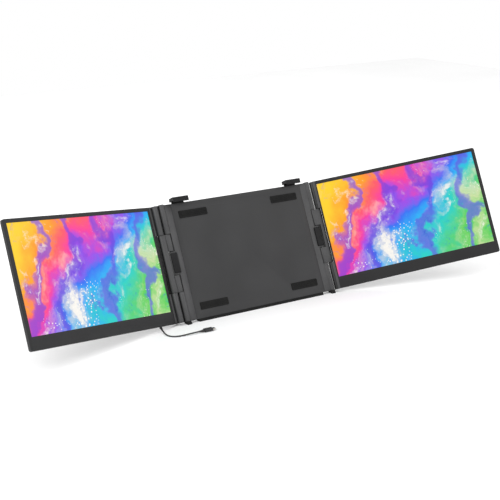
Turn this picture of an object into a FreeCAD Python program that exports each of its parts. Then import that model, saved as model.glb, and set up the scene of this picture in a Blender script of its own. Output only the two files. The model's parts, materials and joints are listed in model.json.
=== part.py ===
import FreeCAD, Part
import math
import os
import Sketcher

# A screen extender that clamps behind an open notebook lid and carries one display on each side.
# Units are millimetres. The frame leans back by the angle of the lid and rests on its feet and kickstand.
# Frame pieces are drawn upright (X right, Y back, Z up the lid) and leaned back by their Placement.
# Screen pieces are drawn about their own hinge axis, with X away from the frame.

Vector = FreeCAD.Vector

doc = FreeCAD.newDocument("ScreenExtender")
sheet = doc.addObject("Spreadsheet::Sheet", "Sizes")

driving = {
    # stance
    "leanAngle": 23.8,
    "screenAngle": 19.85,
    # display panel and its surround
    "panelWide": 344.2,
    "panelHigh": 193.6,
    "bezelSide": 7.4,
    "bezelTop": 7.2,
    "bezelChin": 23.8,
    "bezelThick": 1.0,
    "screenThick": 8.8,
    "screenCorner": 4.5,
    "coverWall": 1.6,
    "coverBack": 1.4,
    "coverRound": 2.4,
    "panelThick": 2.0,
    "backlightThick": 1.6,
    "boardThick": 1.2,
    "portHigh": 3.2,
    # hinge columns: where the two axes lie, and the barrels about them
    "columnAxisOut": 19.8,
    "axisBack": 10.9,
    "linkReach": 14.4,
    "columnRadius": 6.0,
    "strapRadius": 5.4,
    "linkRadius": 5.4,
    "knuckleShare": 0.25,
    "knuckleRise": 1.4,
    "knuckleGap": 0.4,
    "pinRadius": 2.0,
    "pinPlay": 0.05,
    "pinDepth": 22.0,
    "troughPlay": 0.6,
    "troughWall": 4.0,
    "linkGroove": 1.1,
    # how each display sits against its hinge axis, so that one folds over the other
    "rightActiveOut": 7.3,
    "rightFaceFront": 8.0,
    "rightStripIn": 0.5,
    "rightStripMiddle": 5.8,
    "rightInnerBezel": 2.4,
    "leftActiveOut": 17.9,
    "leftFaceBack": 1.8,
    "leftInnerBezel": 5.5,
    # frame
    "frameHalf": 149.6,
    "frameFront": 7.5,
    "frameBack": 18.0,
    "frontPanelThick": 1.8,
    "corePlateThick": 1.5,
    "shellWall": 1.8,
    "shellRound": 3.0,
    "columnBack": 16.9,
    "seamGap": 0.3,
    "coreIn": 49.6,
    "coreEdge": 7.0,
    "windowWide": 46.0,
    "windowHigh": 66.0,
    "windowPitch": 58.0,
    "windowRise": 46.0,
    "railHigh": 26.0,
    "railThick": 1.0,
    "railPlay": 0.3,
    "railStart": 6.0,
    "railTongue": 8.0,
    "lidPadThick": 1.1,
    "lidPadWide": 62.0,
    "lidPadHigh": 14.0,
    "lidPadSeat": 0.5,
    "lidPadIn": 44.0,
    "lidPadUp": 23.0,
    "footMin": 1.2,
    "footFront": 8.4,
    "footRear": 17.4,
    "columnFootFront": 4.9,
    # kickstand
    "kickWide": 150.0,
    "kickPivotUp": 108.0,
    "kickPivotBack": 17.2,
    "kickLong": 104.0,
    "kickThick": 2.6,
    "kickBarrel": 2.3,
    "kickPinRadius": 1.1,
    "kickRecess": 3.4,
    "kickFootRadius": 2.0,
    "kickTaper": 16.0,
    "kickBand": 16.0,
    "kickBarrelIn": 14.0,
    "kickBarrelHalf": 8.5,
    "kickBracket": 7.5,
    "kickPlay": 0.35,
    # clips
    "topClipIn": 18.7,
    "topClipWide": 33.0,
    "topClipStemWide": 26.0,
    "topClipStemThick": 3.0,
    "topClipStemLong": 58.0,
    "topClipLow": 228.4,
    "topClipHigh": 235.2,
    "topClipLipDrop": 3.0,
    "topClipLipThick": 2.4,
    "topClipLipGap": 1.2,
    "clipPadThick": 0.9,
    "clipPlay": 0.3,
    "sideClipHigh": 38.0,
    "sideClipBay": 4.5,
    "sideClipStart": 11.0,
    "sideClipWide": 14.0,
    "sideClipThick": 2.1,
    "sideClipArmIn": 5.8,
    "sideClipArmThick": 2.6,
    "sideClipArmHigh": 30.0,
    # fastenings
    "screwHead": 2.4,
    "screwShank": 1.2,
    "screwHeadHigh": 1.0,
    "screwPlay": 0.1,
    "screwInset": 12.0,
    # control board, its sockets and buttons
    "boardStart": 26.0,
    "boardLong": 124.0,
    "boardLow": 3.4,
    "boardHigh": 17.0,
    "portDeep": 8.5,
    "buttonAlong": 120.0,
    "buttonPitch": 16.0,
    "buttonUp": 11.5,
    "plateLong": 34.0,
    "plateLow": 26.0,
    "buttonRadius": 3.4,
    "buttonPlay": 0.25,
    "buttonProud": 0.6,
    "buttonTravel": 0.6,
    # lead
    "cableRadius": 1.3,
    "cableOut": 32.0,
    "grommetRadius": 2.5,
    "grommetTip": 1.7,
    "grommetDrop": 3.1,
    "grommetLong": 7.5,
    "plugLong": 16.5,
    "plugWide": 10.0,
    "plugHigh": 6.2,
    "plugRelief": 9.0,
    "plugTailRadius": 1.7,
    "plugNoseRadius": 2.7,
    "plugTongueLong": 6.5,
    "plugTongueWide": 8.3,
    "plugTongueHigh": 2.5,
}


class Size:
    """A sheet value or a formula of them: its number, and the text that the document binds to."""

    def __init__(self, text, value):
        self.text = text
        self.value = value

    def __add__(self, other):
        other = sized(other)
        return Size("(%s + %s)" % (self.text, other.text), self.value + other.value)

    def __sub__(self, other):
        other = sized(other)
        return Size("(%s - %s)" % (self.text, other.text), self.value - other.value)

    def __mul__(self, other):
        other = sized(other)
        return Size("(%s * %s)" % (self.text, other.text), self.value * other.value)

    def __truediv__(self, other):
        other = sized(other)
        return Size("(%s / %s)" % (self.text, other.text), self.value / other.value)

    def __radd__(self, other):
        return sized(other) + self

    def __rsub__(self, other):
        return sized(other) - self

    def __rmul__(self, other):
        return sized(other) * self

    def __neg__(self):
        return sized(0) - self


def sized(number):
    if isinstance(number, Size):
        return number
    return Size("%.9g" % number, float(number))


class Named:
    pass


s = Named()
for row, (alias, number) in enumerate(driving.items(), start=1):
    sheet.set("A%d" % row, alias)
    sheet.set("B%d" % row, str(number))
    sheet.setAlias("B%d" % row, alias)
    setattr(s, alias, Size("Sizes.%s" % alias, number))
doc.recompute()

# Sizes that follow from the driving ones.
columnHigh = s.panelHigh + s.bezelTop + s.bezelChin
knuckleHigh = columnHigh * s.knuckleShare
linkLow = knuckleHigh + s.knuckleGap
linkHigh = columnHigh - knuckleHigh - s.knuckleGap
middle = columnHigh / 2
columnAxisX = s.frameHalf + s.columnAxisOut
screenAxisX = columnAxisX + s.linkReach
coreReach = s.frameHalf - s.coreIn
railInner = coreReach + s.railStart
topClipX = s.frameHalf - s.topClipIn
sideClipInner = s.frameHalf + s.sideClipStart
sideClipOuter = sideClipInner + s.sideClipWide
sideClipArmX = sideClipInner + s.sideClipArmIn
coreFront = s.frameFront + s.frontPanelThick
coreBack = coreFront + s.corePlateThick
shellInner = s.frameBack - s.shellWall
lean = math.radians(s.leanAngle.value)
frameDrop = s.frameBack.value * math.sin(lean) + s.footMin.value

nodes = {}


def floorUnder(back):
    """The height, up the frame, of the surface it stands on, under a point this far back."""
    return (back * math.sin(lean) - frameDrop) / math.cos(lean)


def leanedBack(back, up):
    return back * math.cos(lean) + up * math.sin(lean)


footFrontBack = leanedBack(s.footFront.value, floorUnder(s.footFront.value))
footRearBack = leanedBack(s.footRear.value, floorUnder(s.footRear.value))
leaned = FreeCAD.Placement(
    Vector(0, -(footFrontBack + footRearBack) / 2, frameDrop),
    FreeCAD.Rotation(Vector(1, 0, 0), -s.leanAngle.value),
)


def screenPlace(side):
    hinge = Vector(side * screenAxisX.value, s.axisBack.value, 0)
    turn = FreeCAD.Rotation(Vector(0, 0, 1), -side * s.screenAngle.value)
    return leaned.multiply(FreeCAD.Placement(hinge, turn))


def columnPlace(side):
    hinge = Vector(side * columnAxisX.value, s.axisBack.value, 0)
    return leaned.multiply(FreeCAD.Placement(hinge, FreeCAD.Rotation()))


def bind(item, prop, formula):
    item.setExpression(prop, sized(formula).text)


def keep(item, label, place):
    """Give a finished sub-part its name and its place."""
    item.Label = label
    item.Placement = place
    nodes[label] = item


# Sketches. Every corner is tied to the sheet.


def originPlane(body, role):
    return [f for f in body.Origin.OriginFeatures if f.Role == role][0]


def sketchOn(body, role, offset=0):
    sketch = body.newObject("Sketcher::SketchObject", body.Name + "_sketch")
    sketch.AttachmentSupport = (originPlane(body, role), [""])
    sketch.MapMode = "FlatFace"
    bind(sketch, "AttachmentOffset.Base.z", offset)
    return sketch


def fix(sketch, kind, axis, index, point, formula):
    formula = sized(formula)
    if abs(formula.value) < 1e-9:
        sketch.addConstraint(Sketcher.Constraint("PointOnObject", index, point, axis))
        return
    number = sketch.addConstraint(Sketcher.Constraint(kind, -1, 1, index, point, formula.value))
    bind(sketch, "Constraints[%d]" % number, formula)


def arcMiddle(start, end, radius):
    """The middle of the arc from start to end, to the right of that line when the radius is positive."""
    dx = end[0] - start[0]
    dy = end[1] - start[1]
    chord = math.hypot(dx, dy)
    size = max(abs(radius), chord / 2)
    rise = size - math.sqrt(size * size - chord * chord / 4)
    rise = -math.copysign(rise, radius)
    return (start[0] + dx / 2 - dy / chord * rise, start[1] + dy / 2 + dx / chord * rise)


def holdArc(sketch, index, start, end, radius):
    """Tie the size of an arc whose ends are fixed; a half circle is held by its centre."""
    if radius.value < 0:
        radius = -radius
    chord = math.hypot(end[0].value - start[0].value, end[1].value - start[1].value)
    if radius.value > chord / 2 + 1e-6:
        number = sketch.addConstraint(Sketcher.Constraint("Radius", index, radius.value))
        bind(sketch, "Constraints[%d]" % number, radius)
    elif abs(end[0].value - start[0].value) < 1e-6:
        fix(sketch, "DistanceX", -2, index, 3, start[0])
    else:
        fix(sketch, "DistanceY", -1, index, 3, start[1])


def outline(sketch, corners):
    """A closed outline. A corner is (x, y), or (x, y, radius) where an arc arrives at it.

    Taken anticlockwise, an arc with a positive radius bulges outwards.
    """
    first = sketch.GeometryCount
    points = [(sized(c[0]), sized(c[1])) for c in corners]
    count = len(points)
    for i in range(count):
        start = (points[i][0].value, points[i][1].value)
        end = (points[(i + 1) % count][0].value, points[(i + 1) % count][1].value)
        arrival = corners[(i + 1) % count]
        if len(arrival) == 3:
            mid = arcMiddle(start, end, sized(arrival[2]).value)
            arc = Part.Arc(Vector(*start, 0), Vector(*mid, 0), Vector(*end, 0))
            sketch.addGeometry(arc, False)
        else:
            sketch.addGeometry(Part.LineSegment(Vector(*start, 0), Vector(*end, 0)), False)
    ends = []
    for i in range(count):
        geometry = sketch.Geometry[first + i]
        start = (points[i][0].value, points[i][1].value)
        near = math.hypot(geometry.StartPoint.x - start[0], geometry.StartPoint.y - start[1]) < 1e-6
        ends.append((1, 2) if near else (2, 1))
    for i in range(count):
        after = (i + 1) % count
        sketch.addConstraint(
            Sketcher.Constraint("Coincident", first + i, ends[i][1], first + after, ends[after][0])
        )
    for i in range(count):
        fix(sketch, "DistanceX", -2, first + i, ends[i][0], points[i][0])
        fix(sketch, "DistanceY", -1, first + i, ends[i][0], points[i][1])
        arrival = corners[(i + 1) % count]
        if len(arrival) == 3:
            holdArc(sketch, first + i, points[i], points[(i + 1) % count], sized(arrival[2]))


def rectangle(sketch, x0, y0, x1, y1):
    outline(sketch, [(x0, y0), (x1, y0), (x1, y1), (x0, y1)])


def circle(sketch, x, y, radius):
    radius = sized(radius)
    x = sized(x)
    y = sized(y)
    index = sketch.addGeometry(
        Part.Circle(Vector(x.value, y.value, 0), Vector(0, 0, 1), radius.value), False
    )
    fix(sketch, "DistanceX", -2, index, 3, x)
    fix(sketch, "DistanceY", -1, index, 3, y)
    number = sketch.addConstraint(Sketcher.Constraint("Radius", index, radius.value))
    bind(sketch, "Constraints[%d]" % number, radius)


def newBody(name):
    return doc.addObject("PartDesign::Body", name)


def pad(body, sketch, length, symmetric=False):
    feature = body.newObject("PartDesign::Pad", body.Name + "_pad")
    feature.Profile = sketch
    bind(feature, "Length", length)
    if symmetric:
        feature.SideType = "Symmetric"
    body.Tip = feature
    return feature


def pocket(body, sketch, length=None, symmetric=False, reverse=False):
    """Cut against the sketch's normal, or along it when reversed. Without a length it cuts right through."""
    feature = body.newObject("PartDesign::Pocket", body.Name + "_pocket")
    feature.Profile = sketch
    if length is None:
        feature.Type = "ThroughAll"
    else:
        bind(feature, "Length", length)
    if symmetric:
        feature.SideType = "Symmetric"
    feature.Reversed = reverse
    body.Tip = feature
    return feature


def rounded(body, radius, chosen, kind="PartDesign::Fillet"):
    """Round, or chamfer, the edges of the body so far whose middle point and direction are chosen."""
    doc.recompute()
    base = body.Tip
    names = []
    for number, edge in enumerate(base.Shape.Edges, start=1):
        middlePoint = edge.valueAt((edge.FirstParameter + edge.LastParameter) / 2)
        start = edge.valueAt(edge.FirstParameter)
        end = edge.valueAt(edge.LastParameter)
        if chosen(middlePoint, end - start):
            names.append("Edge%d" % number)
    feature = body.newObject(kind, body.Name + "_round")
    feature.Base = (base, names)
    bind(feature, "Size" if kind.endswith("Chamfer") else "Radius", radius)
    body.Tip = feature
    return feature


def along(direction, axis):
    """Whether an edge runs along this axis, 0 for X, 1 for Y and 2 for Z."""
    if direction.Length < 1e-6:
        return False
    return abs(direction[axis]) > 0.999 * direction.Length


def slab(name, x0, x1, y0, y1, z0, z1):
    """A flat rectangular piece that stands upright, from y0 at the front to y1 at the back."""
    body = newBody(name)
    sketch = sketchOn(body, "XZ_Plane", -sized(y1))
    rectangle(sketch, x0, z0, x1, z1)
    pad(body, sketch, sized(y1) - y0)
    return body


# Primitives, for plain and repeated pieces.


def box(name, x0, x1, y0, y1, z0, z1):
    item = doc.addObject("Part::Box", name)
    spans = ((x0, x1, "Length", "x"), (y0, y1, "Width", "y"), (z0, z1, "Height", "z"))
    for a, b, prop, axis in spans:
        low, high = sorted((sized(a), sized(b)), key=lambda end: end.value)
        bind(item, prop, high - low)
        bind(item, "Placement.Base." + axis, low)
    return item


def cylinder(name, radius, x, y, z, height, toward="z"):
    """A round bar from this point along +Z, +Y or +X."""
    item = doc.addObject("Part::Cylinder", name)
    bind(item, "Radius", radius)
    bind(item, "Height", height)
    turns = {
        "z": FreeCAD.Rotation(),
        "y": FreeCAD.Rotation(Vector(1, 0, 0), -90),
        "x": FreeCAD.Rotation(Vector(0, 1, 0), 90),
    }
    item.Placement = FreeCAD.Placement(Vector(), turns[toward])
    for axis, value in zip("xyz", (x, y, z)):
        bind(item, "Placement.Base." + axis, value)
    return item


def group(name, items):
    """Separate solids that share one node."""
    item = doc.addObject("Part::Compound", name)
    item.Links = items
    return item


def joined(name, items):
    item = doc.addObject("Part::MultiFuse", name)
    item.Shapes = items
    return item


def cut(name, base, tool):
    item = doc.addObject("Part::Cut", name)
    item.Base = base
    item.Tool = tool
    return item


# Frame


def shellPlan(body, offset):
    sketch = sketchOn(body, "XZ_Plane", offset)
    rectangle(sketch, -s.frameHalf, 0, s.frameHalf, columnHigh)
    return sketch


frameScrewX = coreReach - s.coreEdge - 1
frameScrewPlaces = [
    (x, z) for x in (frameScrewX, -frameScrewX) for z in (s.screwInset, columnHigh - s.screwInset)
]
railLows = [columnHigh * 0.14, columnHigh * 0.86 - s.railHigh]


def makeRearShell():
    body = newBody("frame_rear_shell")
    pad(body, shellPlan(body, -s.frameBack), s.frameBack - coreFront)
    back = s.frameBack.value
    rounded(
        body,
        s.shellRound,
        lambda p, d: abs(p.y - back) < 1e-6 and along(d, 0),
    )
    hollow = sketchOn(body, "XZ_Plane", -coreFront)
    wall = s.shellWall
    rectangle(hollow, -(s.frameHalf - wall), wall, s.frameHalf - wall, columnHigh - wall)
    pocket(body, hollow, shellInner - coreFront)
    # raised floor of the kickstand's bay, seen as a recess from behind
    bay = s.kickWide / 2 + 3
    bayTop = s.kickPivotUp + 5
    raised = sketchOn(body, "XZ_Plane", -(shellInner + 0.4))
    rectangle(raised, -(bay + wall), wall / 2, bay + wall, bayTop + wall)
    pad(body, raised, shellInner + 0.4 - (s.frameBack - s.kickRecess - wall))
    recess = sketchOn(body, "XZ_Plane", -s.frameBack)
    rectangle(recess, -bay, -1, bay, bayTop)
    pocket(body, recess, s.kickRecess, reverse=True)
    # guide ribs for the two top clips
    ribThick = 1.6
    for side in (1, -1):
        for edge in (1, -1):
            inner = topClipX * side + (s.topClipStemWide / 2 + s.clipPlay) * edge
            rib = sketchOn(body, "XZ_Plane", -(shellInner + 0.3))
            low = columnHigh - s.topClipStemLong - 4
            rectangle(rib, inner, low, inner + ribThick * edge, columnHigh - wall / 2)
            pad(body, rib, shellInner + 0.3 - coreBack)
    # mouths of the clip slots in the top edge
    for side in (1, -1):
        mouth = sketchOn(body, "XY_Plane", columnHigh - wall - 1)
        stemFront = coreBack + s.clipPlay
        rectangle(
            mouth,
            topClipX * side - s.topClipStemWide / 2 - s.clipPlay,
            stemFront - s.clipPlay,
            topClipX * side + s.topClipStemWide / 2 + s.clipPlay,
            stemFront + s.topClipStemThick + s.clipPlay,
        )
        pocket(body, mouth, wall + 2, reverse=True)
    # slots in the side walls, where the columns' rails slide
    slots = sketchOn(body, "XZ_Plane", -coreFront)
    for low in railLows:
        for side in (1, -1):
            rectangle(
                slots,
                (s.frameHalf - wall - 1) * side,
                low - s.railPlay,
                (s.frameHalf + 1) * side,
                low + s.railHigh + s.railPlay,
            )
    pocket(body, slots, s.railThick + s.railPlay * 2)
    # screw posts
    posts = sketchOn(body, "XZ_Plane", -(shellInner + 0.3))
    for x, z in frameScrewPlaces:
        circle(posts, x, z, s.screwHead + 1)
    pad(body, posts, shellInner + 0.3 - coreBack)
    heads = sketchOn(body, "XZ_Plane", -s.frameBack)
    for x, z in frameScrewPlaces:
        circle(heads, x, z, s.screwHead + s.screwPlay)
    pocket(body, heads, s.screwHeadHigh + 0.2, reverse=True)
    shanks = sketchOn(body, "XZ_Plane", -s.frameBack)
    for x, z in frameScrewPlaces:
        circle(shanks, x, z, s.screwShank + s.screwPlay)
    pocket(body, shanks, reverse=True)
    keep(body, "frame_rear_shell", leaned)


def makeFrontPanel():
    body = newBody("frame_front_panel")
    pad(body, shellPlan(body, -coreFront), s.frontPanelThick)
    front = s.frameFront.value
    rounded(body, 0.8, lambda p, d: abs(p.y - front) < 1e-6 and along(d, 0))
    # shallow pockets that hold the lid pads
    seats = sketchOn(body, "XZ_Plane", -s.frameFront)
    for x, z in lidPadPlaces:
        halfWide = s.lidPadWide / 2
        halfHigh = s.lidPadHigh / 2
        rectangle(seats, x - halfWide, z - halfHigh, x + halfWide, z + halfHigh)
    pocket(body, seats, s.lidPadSeat)
    keep(body, "frame_front_panel", leaned)


lidPadX = s.frameHalf - s.lidPadIn
lidPadPlaces = [(x, z) for x in (lidPadX, -lidPadX) for z in (s.lidPadUp, columnHigh - s.lidPadUp)]


def makeLidPads():
    pads = []
    for x, z in lidPadPlaces:
        pads.append(
            box(
                "lid_pad",
                x - s.lidPadWide / 2,
                x + s.lidPadWide / 2,
                s.frameFront - s.lidPadThick,
                s.frameFront + s.lidPadSeat,
                z - s.lidPadHigh / 2,
                z + s.lidPadHigh / 2,
            )
        )
    keep(group("lid_pads", pads), "lid_pads", leaned)


def makeCorePlate():
    body = newBody("frame_core_plate")
    plan = sketchOn(body, "XZ_Plane", -coreBack)
    rectangle(plan, -coreReach, s.coreEdge, coreReach, columnHigh - s.coreEdge)
    pad(body, plan, s.corePlateThick)
    rounded(body, 6, lambda p, d: along(d, 1))
    # lightening windows between the load paths
    windows = sketchOn(body, "XZ_Plane", -coreBack)
    halfWide = s.windowWide / 2
    halfHigh = s.windowHigh / 2
    for column in (-1, 0, 1):
        for row in (-1, 1):
            x = s.windowPitch * column
            z = middle + s.windowRise * row
            rectangle(windows, x - halfWide, z - halfHigh, x + halfWide, z + halfHigh)
    pocket(body, windows, symmetric=True)
    holes = sketchOn(body, "XZ_Plane", -coreBack)
    for x, z in frameScrewPlaces:
        circle(holes, x, z, s.screwShank + s.screwPlay)
    pocket(body, holes, symmetric=True)
    keep(body, "frame_core_plate", leaned)


def makeColumn(side, label):
    """One hinge column: a spine beside the panel, two round knuckles and the lug that guides the clip."""
    axis = columnAxisX * side
    inner = (s.frameHalf + s.seamGap) * side
    lugOut = (sideClipOuter - 2.0) * side
    body = newBody(label)
    knuckles = ((sized(0), knuckleHigh), (columnHigh - knuckleHigh, columnHigh + s.knuckleRise))
    spine = sketchOn(body, "XY_Plane", 0)
    edge = (columnAxisX - s.linkRadius - s.troughPlay) * side
    rectangle(spine, inner, s.frameFront, edge, s.columnBack)
    pad(body, spine, columnHigh)
    for low, high in knuckles:
        web = sketchOn(body, "XY_Plane", low)
        rectangle(web, inner, s.frameFront, axis, s.columnBack)
        pad(body, web, high - low if high.value < columnHigh.value + 0.01 else columnHigh - low)
        barrel = sketchOn(body, "XY_Plane", low)
        circle(barrel, axis, s.axisBack, s.columnRadius)
        pad(body, barrel, high - low)
    lug = sketchOn(body, "XY_Plane", middle - lugHalf)
    outline(
        lug,
        [
            (inner, sideClipFront + s.sideClipThick + s.clipPlay),
            (lugOut, sideClipFront + s.sideClipThick + s.clipPlay),
            (lugOut, lugBack),
            (inner, lugBack),
        ],
    )
    pad(body, lug, lugHalf * 2)
    ends = (0, (columnHigh + s.knuckleRise).value)
    rounded(
        body,
        1.0,
        lambda p, d: d.Length < 1e-6 and min(abs(p.z - e) for e in ends) < 1e-4
        or abs(p.z - ends[1]) < 1e-4,
        "PartDesign::Chamfer",
    )
    # slot for the clip's arm, open to the front
    slot = sketchOn(body, "XZ_Plane", -s.frameFront + 2)
    armIn = (sideClipArmX - s.sideClipArmThick / 2 - s.clipPlay) * side
    armOut = (sideClipArmX + s.sideClipArmThick / 2 + s.clipPlay) * side
    armHalf = s.sideClipArmHigh / 2 + s.clipPlay
    rectangle(slot, armIn, middle - armHalf, armOut, middle + armHalf)
    pocket(body, slot, armBack + s.clipPlay - s.frameFront + 2)
    # step that lets the clip's front plate lie flush
    step = sketchOn(body, "XZ_Plane", -s.frameFront + 2)
    stepIn = (sideClipInner - s.clipPlay) * side
    stepHalf = s.sideClipHigh / 2 + s.clipPlay
    rectangle(step, stepIn, middle - stepHalf, (sideClipOuter + 1) * side, middle + stepHalf)
    pocket(body, step, sideClipFront + s.sideClipThick + s.clipPlay - s.frameFront + 2)
    # slots that hold the ends of the two rails
    ends = sketchOn(body, "XZ_Plane", -(railBack - s.railThick))
    for low in railLows:
        rectangle(ends, inner - 1 * side, low, inner + s.railTongue * side, low + s.railHigh)
    pocket(body, ends, s.railThick, reverse=False)
    # bores for the two hinge pins
    for low, reverse in ((knuckleHigh - s.pinDepth, True), (columnHigh - knuckleHigh - 1, True)):
        bore = sketchOn(body, "XY_Plane", low)
        circle(bore, axis, s.axisBack, s.pinRadius)
        pocket(body, bore, s.pinDepth + 1, reverse=reverse)
    keep(body, label, leaned)


railBack = coreFront + s.railPlay + s.railThick
bayHalf = s.sideClipHigh / 2 + s.sideClipBay
lugHalf = bayHalf - 0.5
lugBack = s.frameBack - 0.2
armBack = s.frameBack - 1.4
sideClipFront = s.frameFront - s.sideClipThick


def makeRails(side, label):
    """Two flat steel rails, fixed in the column, on which it slides out of the frame."""
    rails = []
    for low in railLows:
        rails.append(
            box(
                "rail",
                railInner * side,
                (s.frameHalf + s.seamGap + s.railTongue) * side,
                railBack - s.railThick,
                railBack,
                low,
                low + s.railHigh,
            )
        )
    keep(group(label, rails), label, leaned)


def makeColumnPins(side, label):
    pins = []
    for low in (knuckleHigh - s.pinDepth, columnHigh - knuckleHigh - s.knuckleGap - s.pinDepth):
        pins.append(
            cylinder(
                "column_pin",
                s.pinRadius,
                columnAxisX * side,
                s.axisBack,
                low,
                s.pinDepth * 2 + s.knuckleGap,
            )
        )
    keep(group(label, pins), label, leaned)


def makeFeet():
    """Rubber under the frame, cut level so that it lies flat when the frame leans."""

    def wedge(name, x0, x1, front, rear):
        body = newBody(name)
        profile = sketchOn(body, "YZ_Plane", x0)
        outline(
            profile,
            [
                (front, 0),
                (rear, 0),
                (rear, floorUnder(rear.value)),
                (front, floorUnder(front.value)),
            ],
        )
        pad(body, profile, x1 - x0)
        return body

    strip = wedge("foot_strip", -(s.frameHalf - 4), s.frameHalf - 4, s.footFront, s.footRear)
    keep(strip, "foot_strip", leaned)
    for side, word in ((1, "right"), (-1, "left")):
        near = (columnAxisX - 5.5) * side
        low = near if side > 0 else near - 9.5
        foot = wedge(word + "_column_foot", low, low + 9.5, s.columnFootFront, s.columnBack - 1)
        keep(foot, word + "_column_foot", leaned)


def makeFrameScrews():
    screws = []
    for x, z in frameScrewPlaces:
        head = cylinder(
            "screw_head", s.screwHead, x, s.frameBack - s.screwHeadHigh - 0.2, z, s.screwHeadHigh, "y"
        )
        shank = cylinder(
            "screw_shank", s.screwShank, x, coreFront, z, s.frameBack - s.screwHeadHigh - coreFront, "y"
        )
        screws.append(joined("frame_screw", [head, shank]))
    keep(group("frame_screws", screws), "frame_screws", leaned)


# Kickstand, drawn closed about its own pivot line, with Z up the frame

pivotHeight = (
    s.kickPivotUp.value * math.cos(lean) - s.kickPivotBack.value * math.sin(lean) + frameDrop
)
kickReach = s.kickLong.value
kickOpen = math.degrees(math.acos((pivotHeight - s.kickFootRadius.value) / kickReach)) + s.leanAngle.value
kickPlace = leaned.multiply(
    FreeCAD.Placement(
        Vector(0, s.kickPivotBack.value, s.kickPivotUp.value),
        FreeCAD.Rotation(Vector(1, 0, 0), kickOpen),
    )
)
barrelX = s.kickWide / 2 - s.kickBarrelIn
barrelWide = s.kickBarrelHalf * 2


def makeKickstand():
    body = newBody("kickstand_leg")
    plate = sketchOn(body, "XZ_Plane", -(s.kickThick / 2))
    top = s.kickWide / 2
    foot = s.kickWide / 2 - s.kickTaper
    outline(
        plate,
        [
            (-foot, -s.kickLong),
            (foot, -s.kickLong),
            (top, -s.kickLong + s.kickTaper * 2),
            (top, -4),
            (-top, -4),
            (-top, -s.kickLong + s.kickTaper * 2),
        ],
    )
    pad(body, plate, s.kickThick)
    rounded(body, 5, lambda p, d: along(d, 1) and p.z < -s.kickLong.value / 2)
    window = sketchOn(body, "XZ_Plane", -(s.kickThick / 2))
    rectangle(window, -(foot - s.kickBand), -s.kickLong + s.kickBand, foot - s.kickBand, -s.kickBand * 1.6)
    pocket(body, window, symmetric=True)
    # two arms and barrels that turn on the pins
    for side in (1, -1):
        near = barrelX * side - s.kickBarrelHalf
        arm = sketchOn(body, "YZ_Plane", near)
        rectangle(arm, -(s.kickThick / 2), -6, s.kickThick / 2, 0)
        pad(body, arm, barrelWide)
        barrel = sketchOn(body, "YZ_Plane", near)
        circle(barrel, 0, 0, s.kickBarrel)
        pad(body, barrel, barrelWide)
        bore = sketchOn(body, "YZ_Plane", near - 1)
        circle(bore, 0, 0, s.kickPinRadius + s.pinPlay)
        pocket(body, bore, barrelWide + 2, reverse=True)
    keep(body, "kickstand_leg", kickPlace)
    # each pin is held by the bracket outside its barrel
    pins = []
    brackets = []
    pinLong = barrelWide + s.kickBracket
    recessFloor = s.frameBack - s.kickRecess - s.kickPivotBack
    for side in (1, -1):
        near = barrelX * side - s.kickBarrelHalf
        start = near if side > 0 else near - s.kickBracket
        pins.append(cylinder("kick_pin", s.kickPinRadius, start, 0, 0, pinLong, "x"))
        bracket = newBody("kick_bracket")
        low = (near + barrelWide if side > 0 else start - s.kickPlay) + s.kickPlay
        profile = sketchOn(bracket, "YZ_Plane", low)
        outline(
            profile,
            [
                (recessFloor, -s.kickBarrel),
                (0, -s.kickBarrel),
                (0, s.kickBarrel, s.kickBarrel),
                (recessFloor, s.kickBarrel),
            ],
        )
        pad(bracket, profile, s.kickBracket - s.kickPlay)
        bore = sketchOn(bracket, "YZ_Plane", low - 1)
        circle(bore, 0, 0, s.kickPinRadius)
        pocket(bracket, bore, s.kickBracket + 2, reverse=True)
        brackets.append(bracket)
    pivot = leaned.multiply(
        FreeCAD.Placement(Vector(0, s.kickPivotBack.value, s.kickPivotUp.value), FreeCAD.Rotation())
    )
    keep(group("kickstand_pins", pins), "kickstand_pins", pivot)
    keep(group("kickstand_brackets", brackets), "kickstand_brackets", pivot)
    rubberHalf = foot - s.kickBarrelIn + 2
    rubber = cylinder("kick_rubber", s.kickFootRadius, -rubberHalf, 0, -s.kickLong, rubberHalf * 2, "x")
    notch = box(
        "kick_notch",
        -foot,
        foot,
        -(s.kickThick / 2),
        s.kickThick / 2,
        -s.kickLong,
        -s.kickLong + s.kickFootRadius + 1,
    )
    keep(cut("kickstand_foot", rubber, notch), "kickstand_foot", kickPlace)


# Clips


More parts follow.
